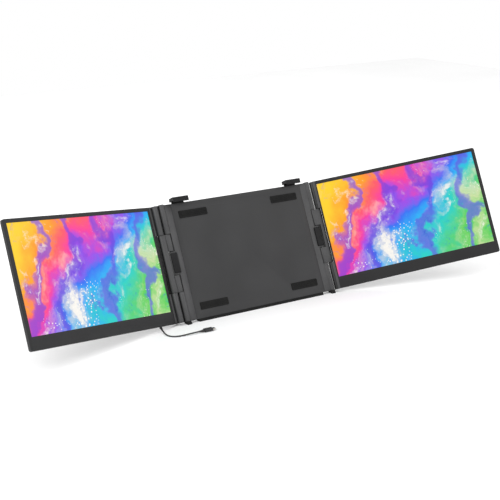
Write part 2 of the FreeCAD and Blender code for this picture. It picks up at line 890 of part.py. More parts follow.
def makeTopClip(side, label):
    """A hook over the lid's top edge, on a flat stem that slides in the frame."""
    stemFront = coreBack + s.clipPlay
    stemBack = stemFront + s.topClipStemThick
    lipFront = 0 - s.topClipLipGap - s.topClipLipThick - s.clipPadThick
    body = newBody(label)
    hook = sketchOn(body, "YZ_Plane", topClipX * side)
    outline(
        hook,
        [
            (lipFront, s.topClipLow - s.topClipLipDrop),
            (lipFront + s.topClipLipThick, s.topClipLow - s.topClipLipDrop),
            (lipFront + s.topClipLipThick, s.topClipLow),
            (stemBack, s.topClipLow),
            (stemBack, s.topClipHigh - 2.4),
            (stemBack - 2.4, s.topClipHigh, 2.4),
            (lipFront + 2.4, s.topClipHigh),
            (lipFront, s.topClipHigh - 2.4, 2.4),
        ],
    )
    pad(body, hook, s.topClipWide, symmetric=True)
    stem = sketchOn(body, "YZ_Plane", topClipX * side)
    rectangle(stem, stemFront, columnHigh - s.topClipStemLong, stemBack, s.topClipLow + 1)
    pad(body, stem, s.topClipStemWide, symmetric=True)
    high = s.topClipHigh.value
    rounded(
        body,
        1.2,
        lambda p, d: along(d, 1) and abs(p.z - high) < 1e-4,
        "PartDesign::Chamfer",
    )
    keep(body, label, leaned)
    rubber = slab(
        label + "_rubber",
        topClipX * side - s.topClipWide / 2 + 2,
        topClipX * side + s.topClipWide / 2 - 2,
        lipFront + s.topClipLipThick,
        lipFront + s.topClipLipThick + s.clipPadThick,
        s.topClipLow - s.topClipLipDrop,
        s.topClipLow,
    )
    keep(rubber, label + "_pad", leaned)


def makeSideClip(side, label):
    """A sprung jaw for the lid's side edge, drawn in its home position, flush with the column."""
    body = newBody(label)
    jaw = sketchOn(body, "XY_Plane", middle - s.sideClipHigh / 2)
    front = sideClipFront
    back = front + s.sideClipThick
    armIn = (sideClipArmX - s.sideClipArmThick / 2) * side
    armOut = (sideClipArmX + s.sideClipArmThick / 2) * side
    inner = sideClipInner * side
    outer = sideClipOuter * side
    outline(
        jaw,
        [
            (inner, back),
            (inner, front + 0.6),
            (inner + 0.6 * side, front),
            (outer, front),
            (outer, back),
        ],
    )
    pad(body, jaw, s.sideClipHigh)
    corner = Vector(outer.value, front.value, 0)
    rounded(body, 1.9, lambda p, d: along(d, 2) and (Vector(p.x, p.y, 0) - corner).Length < 1e-4)
    arm = sketchOn(body, "XY_Plane", middle - s.sideClipArmHigh / 2)
    rectangle(arm, armIn, front + 1, armOut, armBack)
    pad(body, arm, s.sideClipArmHigh)
    frontAt = front.value
    reach = (s.sideClipHigh / 2).value
    rounded(
        body,
        1.0,
        lambda p, d: along(d, 0) and abs(p.y - frontAt) < 1e-4 and abs(abs(p.z - middle.value) - reach) < 1e-4,
        "PartDesign::Chamfer",
    )
    seat = sketchOn(body, "XY_Plane", middle - s.sideClipHigh / 2 + 3)
    rectangle(seat, inner - side, back - s.clipPadThick, inner + 4.0 * side, back + 1)
    pocket(body, seat, s.sideClipHigh - 6, reverse=True)
    keep(body, label, leaned)
    rubber = slab(
        label + "_rubber",
        inner + 0.3 * side,
        inner + 4.0 * side,
        back - s.clipPadThick,
        back,
        middle - s.sideClipHigh / 2 + 3,
        middle + s.sideClipHigh / 2 - 3,
    )
    keep(rubber, label + "_pad", leaned)


# Links


def makeLink(side, label, grooved):
    """The arm between the two hinge axes: two barrels and a web, with a bay for the side clip."""
    body = newBody(label)
    radius = s.linkRadius
    reach = s.linkReach * side
    plan = sketchOn(body, "XY_Plane", linkLow)
    low = sized(0) if side > 0 else reach
    high = reach if side > 0 else sized(0)
    mid = reach / 2
    half = s.linkGroove * 1.2
    dip = radius - s.linkGroove
    front = [(mid - half, -radius), (mid, -dip), (mid + half, -radius)]
    rear = [(mid + half, radius), (mid, dip), (mid - half, radius)]
    if not grooved:
        front = rear = []
    start = (low, -radius, radius)
    outline(plan, [start] + front + [(high, -radius), (high, radius, radius)] + rear + [(low, radius)])
    pad(body, plan, linkHigh - linkLow)
    return body


def finishLink(body, side, label):
    reach = s.linkReach * side
    # bay round the column, where the side clip and its lug pass
    bay = sketchOn(body, "XY_Plane", middle - bayHalf)
    bayOut = (sideClipOuter - columnAxisX + 3.2) * side
    rectangle(bay, (0 - s.linkRadius - 1) * side, -s.linkRadius - 1, bayOut, s.linkRadius + 1)
    pocket(body, bay, bayHalf * 2, reverse=True)
    for x in (sized(0), reach):
        for low, depth in ((linkLow, s.pinDepth + 0.4), (linkHigh - s.pinDepth - 0.4, s.pinDepth + 1)):
            bore = sketchOn(body, "XY_Plane", low)
            circle(bore, x, 0, s.pinRadius + s.pinPlay)
            pocket(body, bore, depth, reverse=True)
    keep(body, label, columnPlace(side))


# Screens


class ScreenSide:
    """The places, about one screen's hinge axis, that its pieces share."""

    def __init__(self, side, name, activeOut, face, innerBezel):
        self.side = side
        self.name = name
        self.place = screenPlace(side)
        self.active = activeOut
        self.front = face
        self.bezelBack = face + s.bezelThick
        self.back = face + s.screenThick
        self.cavityBack = self.back - s.coverBack
        self.inner = activeOut - innerBezel
        self.outer = activeOut + s.panelWide + s.bezelSide
        self.panelInner = activeOut - 0.4
        self.trough = s.linkRadius + s.troughPlay
        self.coverInner = activeOut + 1.0


def makeBezel(v):
    body = newBody(v.name + "_bezel")
    plan = sketchOn(body, "XZ_Plane", -v.bezelBack)
    rectangle(plan, v.inner * v.side, 0, v.outer * v.side, columnHigh)
    pad(body, plan, s.bezelThick)
    outer = v.outer.value * v.side
    rounded(body, s.screenCorner, lambda p, d: along(d, 1) and abs(p.x - outer) < 1e-4)
    window = sketchOn(body, "XZ_Plane", -v.bezelBack)
    rectangle(
        window,
        v.active * v.side,
        s.bezelChin,
        (v.active + s.panelWide) * v.side,
        s.bezelChin + s.panelHigh,
    )
    pocket(body, window, symmetric=True)
    if v.side > 0:
        # notch beside the link, which turns past this edge as the display folds
        notch = sketchOn(body, "XZ_Plane", -v.bezelBack)
        rectangle(notch, v.inner - 1, knuckleHigh, s.rightStripMiddle, columnHigh - knuckleHigh)
        pocket(body, notch, symmetric=True)
    keep(body, v.name + "_bezel", v.place)


def makePanel(v):
    outer = v.active + s.panelWide + 3
    low = s.bezelChin - 3
    high = s.bezelChin + s.panelHigh + 3
    panelBack = v.bezelBack + s.panelThick
    panel = slab(v.name + "_panel", v.panelInner * v.side, outer * v.side, v.bezelBack, panelBack, low, high)
    keep(panel, v.name + "_lcd_panel", v.place)
    light = slab(
        v.name + "_light",
        v.panelInner * v.side,
        outer * v.side,
        panelBack,
        panelBack + s.backlightThick,
        low,
        high,
    )
    keep(light, v.name + "_backlight", v.place)


def makeCover(v):
    """The rear shell: a tray closed on three sides, whose open side the hinge strip closes."""
    body = newBody(v.name + "_rear_cover")
    plan = sketchOn(body, "XZ_Plane", -v.back)
    rectangle(plan, v.coverInner * v.side, 0, v.outer * v.side, columnHigh)
    pad(body, plan, v.back - v.bezelBack)
    outer = v.outer.value * v.side
    inner = v.coverInner.value * v.side
    back = v.back.value
    rounded(body, s.screenCorner, lambda p, d: along(d, 1) and abs(p.x - outer) < 1e-4)
    rounded(
        body,
        s.coverRound,
        lambda p, d: abs(p.y - back) < 1e-4 and abs(p.x - inner) > 1e-3,
        "PartDesign::Chamfer",
    )
    hollow = sketchOn(body, "XZ_Plane", -v.bezelBack)
    wall = s.coverWall
    rectangle(
        hollow,
        (v.coverInner - 2) * v.side,
        wall,
        (v.outer - wall) * v.side,
        columnHigh - wall,
    )
    pocket(body, hollow, v.cavityBack - v.bezelBack)
    # ribs that carry the board and press the panel forward
    ribs = sketchOn(body, "XZ_Plane", -(v.cavityBack + 0.3))
    for u in (s.boardStart + 6, s.boardStart + s.boardLong - 6):
        low = s.boardLow + s.boardHigh - 6
        rectangle(ribs, (v.active + u - 1) * v.side, low, (v.active + u + 1) * v.side, low + 5)
    pad(body, ribs, v.cavityBack + 0.3 - boardBack(v))
    # port mouths in the bottom edge
    for u, wide in portPlaces(v):
        mouth = sketchOn(body, "XY_Plane", 0)
        u0 = (v.active + u - wide / 2) * v.side
        u1 = (v.active + u + wide / 2) * v.side
        rectangle(mouth, u0, portFront(v), u1, portFront(v) + s.portHigh)
        pocket(body, mouth, (wall + 1) * 2, symmetric=True)
    # button holes in the back
    holes = sketchOn(body, "XZ_Plane", -v.back)
    for u in buttonPlaces:
        circle(holes, (v.active + u) * v.side, s.buttonUp, s.buttonRadius + s.buttonPlay)
    pocket(body, holes, s.coverBack + 0.5, reverse=True)
    if v.side < 0:
        exitHole = sketchOn(body, "XY_Plane", 0)
        circle(exitHole, (v.active + s.cableOut) * v.side, cableBack(v), s.grommetRadius)
        pocket(body, exitHole, (wall + 1) * 2, symmetric=True)
    keep(body, v.name + "_rear_cover", v.place)


buttonPlaces = (s.buttonAlong, s.buttonAlong + s.buttonPitch)


def portPlaces(v):
    return ((72, 9.2), (88, 9.2), (106, 11.4))


def boardBack(v):
    return v.cavityBack - 2.0


def portFront(v):
    return boardBack(v) - s.boardThick - s.portHigh


def cableBack(v):
    return (v.front + v.back) / 2


def makeInnards(v):
    """The control board, its sockets and switches, and the steel plates that carry the hinge strip."""
    board = slab(
        v.name + "_board",
        (v.active + s.boardStart) * v.side,
        (v.active + s.boardStart + s.boardLong) * v.side,
        boardBack(v) - s.boardThick,
        boardBack(v),
        s.boardLow,
        s.boardLow + s.boardHigh - 0.6,
    )
    keep(board, v.name + "_control_board", v.place)
    ports = []
    for u, wide in portPlaces(v):
        socketHalf = wide / 2 - 0.1
        body = newBody(v.name + "_port")
        face = sketchOn(body, "XY_Plane", 0.5)
        u0 = (v.active + u - socketHalf) * v.side
        u1 = (v.active + u + socketHalf) * v.side
        rectangle(face, u0, portFront(v) + 0.1, u1, portFront(v) + s.portHigh)
        pad(body, face, s.portDeep)
        mouth = sketchOn(body, "XY_Plane", 0.5)
        front = portFront(v) + 0.5
        rectangle(mouth, u0 + 0.4 * v.side, front, u1 - 0.4 * v.side, front + s.portHigh - 0.9)
        pocket(body, mouth, s.portDeep - 2.5, reverse=True)
        tongue = sketchOn(body, "XY_Plane", 1.0)
        centre = portFront(v) + s.portHigh / 2
        rectangle(tongue, u0 + 1.6 * v.side, centre - 0.3, u1 - 1.6 * v.side, centre + 0.3)
        pad(body, tongue, s.portDeep - 2)
        ports.append(body)
    keep(group(v.name + "_ports", ports), v.name + "_ports", v.place)
    switches = []
    for u in buttonPlaces:
        x = (v.active + u) * v.side
        switches.append(
            box(
                "switch",
                x - 2.6,
                x + 2.6,
                boardBack(v),
                boardBack(v) + 1.0,
                s.buttonUp - 2.6,
                s.buttonUp + 2.6,
            )
        )
    keep(group(v.name + "_switches", switches), v.name + "_switches", v.place)
    for u, word in zip(buttonPlaces, ("power_button", "menu_button")):
        button = newBody(v.name + "_" + word)
        base = boardBack(v) + 1.0 + s.buttonTravel + 0.15
        plan = sketchOn(button, "XZ_Plane", -(v.back + s.buttonProud))
        circle(plan, (v.active + u) * v.side, s.buttonUp, s.buttonRadius)
        pad(button, plan, v.back + s.buttonProud - base)
        top = (v.back + s.buttonProud).value
        rounded(button, 0.4, lambda p, d: abs(p.y - top) < 1e-4, "PartDesign::Chamfer")
        keep(button, v.name + "_" + word, v.place)
    plates = []
    for low, high in ((s.plateLow, knuckleHigh - 4), (columnHigh - knuckleHigh + 4, columnHigh - s.boardLow)):
        plates.append(
            box(
                "hinge_plate",
                (v.coverInner + 0.2) * v.side,
                (v.coverInner + s.plateLong) * v.side,
                v.cavityBack - 1.2,
                v.cavityBack,
                low,
                high,
            )
        )
    keep(group(v.name + "_hinge_plates", plates), v.name + "_hinge_plates", v.place)


def stripProfile(v, inner):
    """The hinge strip's section behind the bezel, from its inner face to the cover and the panel."""
    lightBack = v.bezelBack + s.panelThick + s.backlightThick
    ledge = v.panelInner - 0.2
    if inner.value >= v.inner.value:
        return [
            (inner * v.side, v.bezelBack),
            (ledge * v.side, v.bezelBack),
            (ledge * v.side, lightBack + 0.1),
            (v.coverInner * v.side, lightBack + 0.1),
            (v.coverInner * v.side, v.back),
            (inner * v.side, v.back),
        ]
    return [
        (inner * v.side, v.front),
        (v.inner * v.side, v.front),
        (v.inner * v.side, v.bezelBack),
        (ledge * v.side, v.bezelBack),
        (ledge * v.side, lightBack + 0.1),
        (v.coverInner * v.side, lightBack + 0.1),
        (v.coverInner * v.side, v.back),
        (inner * v.side, v.back),
    ]


def makeStrip(v, inner, innerMiddle):
    """The hinge strip: two knuckles about the axis, and between them a trough for the link."""
    body = newBody(v.name + "_hinge_strip")
    spine = sketchOn(body, "XY_Plane", 0)
    outline(spine, stripProfile(v, innerMiddle))
    pad(body, spine, columnHigh)
    if v.side < 0:
        # the trough's rear wall, behind the link
        wall = sketchOn(body, "XY_Plane", knuckleHigh)
        rectangle(wall, -s.troughWall * v.side, v.back - s.coverWall, (innerMiddle + 1) * v.side, v.back)
        pad(body, wall, columnHigh - knuckleHigh * 2)
    for low, high in ((sized(0), knuckleHigh), (columnHigh - knuckleHigh, columnHigh)):
        web = sketchOn(body, "XY_Plane", low)
        outline(web, stripProfile(v, inner))
        pad(body, web, high - low)
        barrel = sketchOn(body, "XY_Plane", low)
        circle(barrel, 0, 0, s.strapRadius)
        pad(body, barrel, high - low)
    trough = sketchOn(body, "XY_Plane", knuckleHigh)
    circle(trough, 0, 0, v.trough)
    pocket(body, trough, columnHigh - knuckleHigh * 2, reverse=True)
    for low in (knuckleHigh - s.pinDepth, columnHigh - knuckleHigh - 1):
        bore = sketchOn(body, "XY_Plane", low)
        circle(bore, 0, 0, s.pinRadius)
        pocket(body, bore, s.pinDepth + 1, reverse=True)
    keep(body, v.name + "_hinge_strip", v.place)
    pins = []
    for low in (knuckleHigh - s.pinDepth, columnHigh - knuckleHigh - s.knuckleGap - s.pinDepth):
        pins.append(cylinder("screen_pin", s.pinRadius, 0, 0, low, s.pinDepth * 2 + s.knuckleGap))
    keep(group(v.name + "_screen_pins", pins), v.name + "_screen_pins", v.place)


# The lead from the left screen. Its points are chosen by eye, as places on the table
# to the right of and behind the middle of the cord's exit, and heights above the table.

cablePoints = [
    (-1.0, -12.7, 1.35),
    (-3.8, -34.2, 1.35),
    (8.3, -46.1, 1.35),
    (42.3, -48.6, 3.2),
    (54.3, -48.7, 3.2),
]


def cordPath(points):
    """Straight runs joined by tangent arcs, each as large as its two runs allow."""
    edges = []
    start = points[0]
    radii = []
    for before, corner, after in zip(points, points[1:], points[2:]):
        come = corner - before
        leave = after - corner
        turn = come.getAngle(leave)
        radius = 0.45 * min(come.Length, leave.Length) / math.tan(turn / 2)
        radii.append(radius)
        back = radius * math.tan(turn / 2)
        first = corner - come.normalize() * back
        last = corner + leave.normalize() * back
        toward = (first + last) * 0.5 - corner
        depth = radius / math.cos(turn / 2) - radius
        edges.append(Part.LineSegment(start, first).toShape())
        edges.append(Part.Arc(first, corner + toward.normalize() * depth, last).toShape())
        start = last
    edges.append(Part.LineSegment(start, points[-1]).toShape())
    return edges, radii


def makeLead(v):
    exitX = (v.active + s.cableOut) * v.side
    neck = cylinder(
        "grommet_neck",
        s.grommetRadius,
        exitX,
        cableBack(v),
        -s.grommetDrop,
        s.grommetDrop + s.coverWall + 0.8,
    )
    root = Vector(exitX.value, cableBack(v).value, 0.2 - s.grommetRadius.value * 0.8)
    mouth = v.place.multVec(root)
    route = [Vector(mouth.x + x, mouth.y + y, z) for x, y, z in cablePoints]
    lead = (route[0] - mouth).normalize()
    tip = mouth + lead * s.grommetLong.value
    nose = doc.addObject("Part::Cone", "grommet_nose")
    bind(nose, "Radius1", s.grommetRadius - 0.3)
    bind(nose, "Radius2", s.grommetTip)
    bind(nose, "Height", s.grommetLong)
    direction = v.place.inverse().multVec(mouth + lead) - root
    nose.Placement = FreeCAD.Placement(root, FreeCAD.Rotation(Vector(0, 0, 1), direction))
    keep(joined("cable_grommet", [neck, nose]), "cable_grommet", v.place)

    points = [tip] + route
    edges, radii = cordPath(points)
    wire = Part.Wire(edges)
    section = Part.Wire([Part.Circle(points[0], points[1] - points[0], s.cableRadius.value).toShape()])
    tube = wire.makePipeShell([section], True, True)
    cable = doc.addObject("Part::Feature", "cable")
    cable.Shape = tube
    keep(cable, "cable", FreeCAD.Placement())
    expected = math.pi * s.cableRadius.value ** 2 * wire.Length
    print("cable points", [tuple(round(c, 2) for c in p) for p in points], "length", round(wire.Length, 1))
    print("cable radii", [round(r, 1) for r in radii], "volume ratio", round(tube.Volume / expected, 4))

    tail = points[-1]
    heading = tail - points[-2]
    turn = FreeCAD.Rotation(Vector(1, 0, 0), heading)
    plugPlace = FreeCAD.Placement(tail, turn)
    relief = doc.addObject("Part::Cone", "plug_relief")
    bind(relief, "Radius1", s.plugTailRadius)
    bind(relief, "Radius2", s.plugNoseRadius)
    bind(relief, "Height", s.plugRelief)
    relief.Placement = FreeCAD.Placement(Vector(), FreeCAD.Rotation(Vector(0, 1, 0), 90))
    grip = newBody("plug_grip")
    section = sketchOn(grip, "YZ_Plane", s.plugRelief)
    halfWide = s.plugWide / 2
    halfHigh = s.plugHigh / 2
    flat = halfWide - halfHigh
    outline(
        section,
        [(-flat, -halfHigh, halfHigh), (flat, -halfHigh), (flat, halfHigh, halfHigh), (-flat, halfHigh)],
    )
    pad(grip, section, s.plugLong)
    keep(joined("plug_body", [relief, grip]), "plug_body", plugPlace)
    tongue = newBody("plug_tongue")
    nosePlan = sketchOn(tongue, "YZ_Plane", s.plugRelief + s.plugLong)
    rectangle(
        nosePlan,
        -(s.plugTongueWide / 2),
        -(s.plugTongueHigh / 2),
        s.plugTongueWide / 2,
        s.plugTongueHigh / 2,
    )
    pad(tongue, nosePlan, s.plugTongueLong)
    rounded(tongue, s.plugTongueHigh / 2 - 0.05, lambda p, d: along(d, 0))
    mouthPlan = sketchOn(tongue, "YZ_Plane", s.plugRelief + s.plugLong + s.plugTongueLong)
    rectangle(
        mouthPlan,
        -(s.plugTongueWide / 2 - 1),
        -(s.plugTongueHigh / 2 - 0.45),
        s.plugTongueWide / 2 - 1,
        s.plugTongueHigh / 2 - 0.45,
    )
    pocket(tongue, mouthPlan, s.plugTongueLong - 1)
    keep(tongue, "plug_tongue", plugPlace)


def build():
    makeRearShell()
    makeFrontPanel()
    makeLidPads()
    makeCorePlate()
    makeColumn(1, "right_hinge_column")
    makeColumn(-1, "left_hinge_column")
    for side, word in ((1, "right"), (-1, "left")):
        makeColumnPins(side, word + "_column_pins")
        makeRails(side, word + "_column_rails")
    makeFeet()
    makeFrameScrews()
    makeKickstand()
    for side, word in ((1, "right"), (-1, "left")):
        makeTopClip(side, word + "_top_clip")
        makeSideClip(side, word + "_side_clip")
    finishLink(makeLink(1, "right_link", False), 1, "right_link")
    finishLink(makeLink(-1, "left_link", True), -1, "left_link")
    right = ScreenSide(1, "right", s.rightActiveOut, -s.rightFaceFront, s.rightInnerBezel)
    left = ScreenSide(-1, "left", s.leftActiveOut, s.leftFaceBack, s.leftInnerBezel)
    for v in (right, left):
        makeBezel(v)
        makePanel(v)
        makeCover(v)
        makeInnards(v)
    makeStrip(right, -s.rightStripIn, s.rightStripMiddle)
    makeStrip(left, sized(0), left.inner - 0.6)
    makeLead(left)


def check():
    doc.recompute()
    faults = [o.Name for o in doc.Objects if "Invalid" in o.State or "Error" in o.State]
    for label, item in nodes.items():
        if item.Shape.isNull() or not item.Shape.isValid():
            faults.append(label)
    if faults:
        raise RuntimeError("failed objects: " + ", ".join(faults))


def export():
    os.makedirs("parts", exist_ok=True)
    for label, item in nodes.items():
        item.Shape.exportStep("parts/%s.step" % label)
        print(label, len(item.Shape.Solids), round(item.Shape.Volume, 1))


build()
check()
export()
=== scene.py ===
import bmesh
import bpy
import json
import math
from mathutils import Euler, Matrix, Vector


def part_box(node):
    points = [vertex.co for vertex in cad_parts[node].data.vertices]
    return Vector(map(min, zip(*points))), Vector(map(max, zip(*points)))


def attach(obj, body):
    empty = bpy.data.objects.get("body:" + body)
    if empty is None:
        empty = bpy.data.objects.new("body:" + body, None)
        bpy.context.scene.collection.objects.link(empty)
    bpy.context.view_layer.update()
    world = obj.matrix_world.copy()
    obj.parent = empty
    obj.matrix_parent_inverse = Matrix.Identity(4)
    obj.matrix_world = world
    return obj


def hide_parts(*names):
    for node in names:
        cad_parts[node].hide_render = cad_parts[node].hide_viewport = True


# Looks for a screen extender: a leaning frame with a hinged display on each side.
# Everything is in metres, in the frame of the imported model.

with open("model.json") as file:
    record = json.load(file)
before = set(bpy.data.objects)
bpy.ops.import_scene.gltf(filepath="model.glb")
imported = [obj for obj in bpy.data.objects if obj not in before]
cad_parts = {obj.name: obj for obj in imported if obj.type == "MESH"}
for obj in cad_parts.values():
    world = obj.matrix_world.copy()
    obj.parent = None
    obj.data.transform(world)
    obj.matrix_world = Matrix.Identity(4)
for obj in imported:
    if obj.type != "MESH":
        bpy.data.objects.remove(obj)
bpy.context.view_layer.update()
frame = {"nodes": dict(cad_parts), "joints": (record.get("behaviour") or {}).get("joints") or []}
cadNodes = frame["nodes"]
bpy.ops.object.select_all(action="DESELECT")

mm = 0.001
hair = 0.02 * mm  # slack when a face, an edge or a corner is picked by its place
weld = 0.001 * mm  # corners closer than this are one
sides = {"right": 1, "left": -1}
stance = {"lean": math.radians(23.8), "screenAngle": math.radians(19.85)}


# Camera, where the photograph was taken from

camera = {
    "place": (-1.2796, -1.9030, 0.7462),
    "azimuth": math.radians(-33.351),
    "elevation": math.radians(15.364),
    "roll": math.radians(-0.655),
    "lens": 88.94,
    "sensor": 36,
    "near": 0.05,
    "far": 50,
}


def makeCamera():
    data = bpy.data.cameras.new("camera")
    data.lens = camera["lens"]
    data.sensor_width = camera["sensor"]
    data.clip_start = camera["near"]
    data.clip_end = camera["far"]
    eye = bpy.data.objects.new("camera", data)
    bpy.context.scene.collection.objects.link(eye)
    a = camera["azimuth"]
    e = camera["elevation"]
    back = Vector((math.sin(a) * math.cos(e), -math.cos(a) * math.cos(e), math.sin(e)))
    eye.rotation_mode = "QUATERNION"
    eye.rotation_quaternion = (-back).to_track_quat("-Z", "Y") @ Euler((0, 0, camera["roll"])).to_quaternion()
    eye.location = camera["place"]
    bpy.context.scene.camera = eye


# Modelling helpers: each works on the one piece that is open in edit mode


def selectOnly(piece):
    bpy.ops.object.select_all(action="DESELECT")
    piece.select_set(True)
    bpy.context.view_layer.objects.active = piece


def startBox(name, low, high):
    bpy.ops.object.select_all(action="DESELECT")
    bpy.ops.mesh.primitive_cube_add(size=1, location=(low + high) / 2, scale=high - low)
    piece = bpy.context.object
    piece.name = name
    piece.data.name = name
    bpy.ops.object.transform_apply(location=True, rotation=True, scale=True)
    bpy.ops.object.mode_set(mode="EDIT")
    return piece


def pickFaces(piece, test):
    bpy.ops.mesh.select_mode(type="FACE")
    bpy.ops.mesh.select_all(action="DESELECT")
    shape = bmesh.from_edit_mesh(piece.data)
    for face in shape.faces:
        face.select_set(test(face.calc_center_median(), face.normal))
    bmesh.update_edit_mesh(piece.data)


def pickEdges(piece, test):
    bpy.ops.mesh.select_mode(type="EDGE")
    bpy.ops.mesh.select_all(action="DESELECT")
    shape = bmesh.from_edit_mesh(piece.data)
    for edge in shape.edges:
        a, b = [corner.co for corner in edge.verts]
        edge.select_set(test((a + b) / 2, (b - a).normalized()))
    bmesh.update_edit_mesh(piece.data)


def pull(x, y, z):
    bpy.ops.mesh.extrude_region_move(TRANSFORM_OT_translate={"value": (x, y, z)})


def cutAcross(place, normal):
    bpy.ops.mesh.select_all(action="SELECT")
    bpy.ops.mesh.bisect(plane_co=place, plane_no=normal)


def cutGrooves(piece, onFace, start, way, long, grooves, sink, rim=0.0):
    # cuts the face into strips along the way, and sinks every second one
    strips = 2 * grooves + 1
    step = long / strips
    for line in range(1, strips):
        pickFaces(piece, onFace)
        bpy.ops.mesh.bisect(plane_co=start + way * line * step, plane_no=way)
    for line in range(1, strips, 2):
        groove = start + way * (line + 0.5) * step
        pickFaces(
            piece,
            lambda spot, normal: onFace(spot, normal) and abs((spot - groove).dot(way)) < 0.3 * step,
        )
        if rim:
            bpy.ops.mesh.inset(thickness=rim)
        pull(*sink)


def easeEdges(piece, width, angle=40, clamp=True):
    # the small radius that a mould leaves on an edge
    ease = piece.modifiers.new("ease", "BEVEL")
    ease.width = width
    ease.segments = 2
    ease.limit_method = "ANGLE"
    ease.angle_limit = math.radians(angle)
    ease.use_clamp_overlap = clamp
    bpy.context.view_layer.objects.active = piece
    bpy.ops.object.modifier_apply(modifier="ease")


def smooth(piece, angle=32):
    selectOnly(piece)
    bpy.ops.object.shade_smooth_by_angle(angle=math.radians(angle))


def uprightBox(name):
    # a node's box with the frame's lean taken out
    turn = Matrix.Rotation(stance["lean"], 3, "X")
    spots = [turn @ corner.co for corner in cadNodes[name].data.vertices]
    low = Vector([min(spot[axis] for spot in spots) for axis in range(3)])
    high = Vector([max(spot[axis] for spot in spots) for axis in range(3)])
    return low, high


def leanBack(piece):
    selectOnly(piece)
    bpy.ops.transform.rotate(value=stance["lean"], orient_axis="X", center_override=(0, 0, 0))
    bpy.ops.object.transform_apply(location=True, rotation=True, scale=True)


madePieces = []


def settle(piece, body, node):
    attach(piece, body)
    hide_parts(node)
    madePieces.append((piece, node))


# Rubber pads that the lid leans on

lidPad = {
    "wide": 62 * mm,
    "high": 14 * mm,
    "corner": 2.4 * mm,
    "rim": 1.5 * mm,
    "grooves": 3,
    "deep": 0.45 * mm,
    "grooveRim": 0.15 * mm,
    "edge": 0.15 * mm,
}


def makeLidPads():
    low, high = uprightBox("lid_pads")
    padLow = Vector((high.x - lidPad["wide"], low.y, low.z))
    padHigh = Vector((high.x, high.y, low.z + lidPad["high"]))
    pad = startBox("lidPad", padLow, padHigh)
    pickEdges(pad, lambda spot, way: abs(way.y) > 0.9)
    bpy.ops.mesh.bevel(offset=lidPad["corner"], segments=5)
    pickFaces(pad, lambda spot, normal: normal.y < -0.9)
    bpy.ops.mesh.inset(thickness=lidPad["rim"])
    middle = (padLow.x + padHigh.x) / 2
    cutGrooves(
        pad,
        lambda spot, normal: normal.y < -0.9 and abs(spot.x - middle) < hair
        and padLow.z + lidPad["rim"] - hair < spot.z < padHigh.z - lidPad["rim"] + hair,
        start=Vector((middle, padLow.y, padLow.z + lidPad["rim"])),
        way=Vector((0, 0, 1)),
        long=lidPad["high"] - 2 * lidPad["rim"],
        grooves=lidPad["grooves"],
        sink=(0, lidPad["deep"], 0),
        rim=lidPad["grooveRim"],
    )
    bpy.ops.object.mode_set(mode="OBJECT")
    easeEdges(pad, lidPad["edge"], angle=60)
    smooth(pad)
    for across in (0, low.x + lidPad["wide"] - high.x):
        for up in (0, high.z - low.z - lidPad["high"]):
            selectOnly(pad)
            bpy.ops.object.duplicate()
            copy = bpy.context.object
            bpy.ops.transform.translate(value=(across, 0, up))
            leanBack(copy)
            settle(copy, "frame", "lid_pads")
    bpy.data.objects.remove(pad)


# Clips that hook over the lid's top edge

topClip = {
    "lipThick": 2.4 * mm,
    "lipDrop": 3.0 * mm,
    "capHigh": 6.8 * mm,
    "stemWide": 26.0 * mm,
    "stemThick": 3.0 * mm,
    "round": 2.4 * mm,
    "rim": 1.0 * mm,
    "grooves": 4,
    "grooveDeep": 0.4 * mm,
    "edge": 0.3 * mm,
}


def makeTopClip(side):
    low, high = uprightBox(side + "_top_clip")
    capLow = high.z - topClip["capHigh"]
    middle = (low.x + high.x) / 2
    halfStem = topClip["stemWide"] / 2
    stemFront = high.y - topClip["stemThick"]
    lipBack = low.y + topClip["lipThick"]
    clip = startBox(side + "TopClip", Vector((low.x, low.y, capLow)), high)
    cutAcross((middle, lipBack, capLow), (0, 1, 0))
    cutAcross((middle, stemFront, capLow), (0, 1, 0))
    cutAcross((middle - halfStem, 0, capLow), (1, 0, 0))
    cutAcross((middle + halfStem, 0, capLow), (1, 0, 0))
    pickFaces(clip, lambda spot, normal: normal.z < -0.9 and spot.y < lipBack)
    pull(0, 0, -topClip["lipDrop"])
    pickFaces(
        clip,
        lambda spot, normal: normal.z < -0.9 and spot.y > stemFront and abs(spot.x - middle) < halfStem,
    )
    pull(0, 0, low.z - capLow)
    pickEdges(
        clip,
        lambda spot, way: abs(way.x) > 0.9
        and abs(spot.z - high.z) < hair
        and min(abs(spot.y - low.y), abs(spot.y - high.y)) < hair,
    )
    bpy.ops.mesh.bevel(offset=topClip["round"], segments=5)
    # finger ridges across the cap
    pickFaces(clip, lambda spot, normal: normal.z > 0.99)
    bpy.ops.mesh.dissolve_faces()
    bpy.ops.mesh.inset(thickness=topClip["rim"])
    margin = topClip["round"] + topClip["rim"]
    cutGrooves(
        clip,
        lambda spot, normal: normal.z > 0.99 and abs(spot.x - middle) < hair
        and low.y + margin < spot.y < high.y - margin,
        start=Vector((middle, low.y + margin, high.z)),
        way=Vector((0, 1, 0)),
        long=high.y - low.y - 2 * margin,
        grooves=topClip["grooves"],
        sink=(0, 0, -topClip["grooveDeep"]),
    )
    bpy.ops.object.mode_set(mode="OBJECT")
    easeEdges(clip, topClip["edge"], angle=50)
    smooth(clip)
    leanBack(clip)
    settle(clip, side + "_top_clip", side + "_top_clip")


# The lead from the left display: its route along the table

lead = {
    "points": [
        (-0.23338, -0.01814, 0.00391),
        (-0.23384, -0.02399, 0.00135),
        (-0.23664, -0.04549, 0.00135),
        (-0.22454, -0.05739, 0.00135),
        (-0.19054, -0.05989, 0.0032),
        (-0.17854, -0.05999, 0.0032),
    ],
    "diameter": 2.6 * mm,
    "length": 89.4 * mm,
}


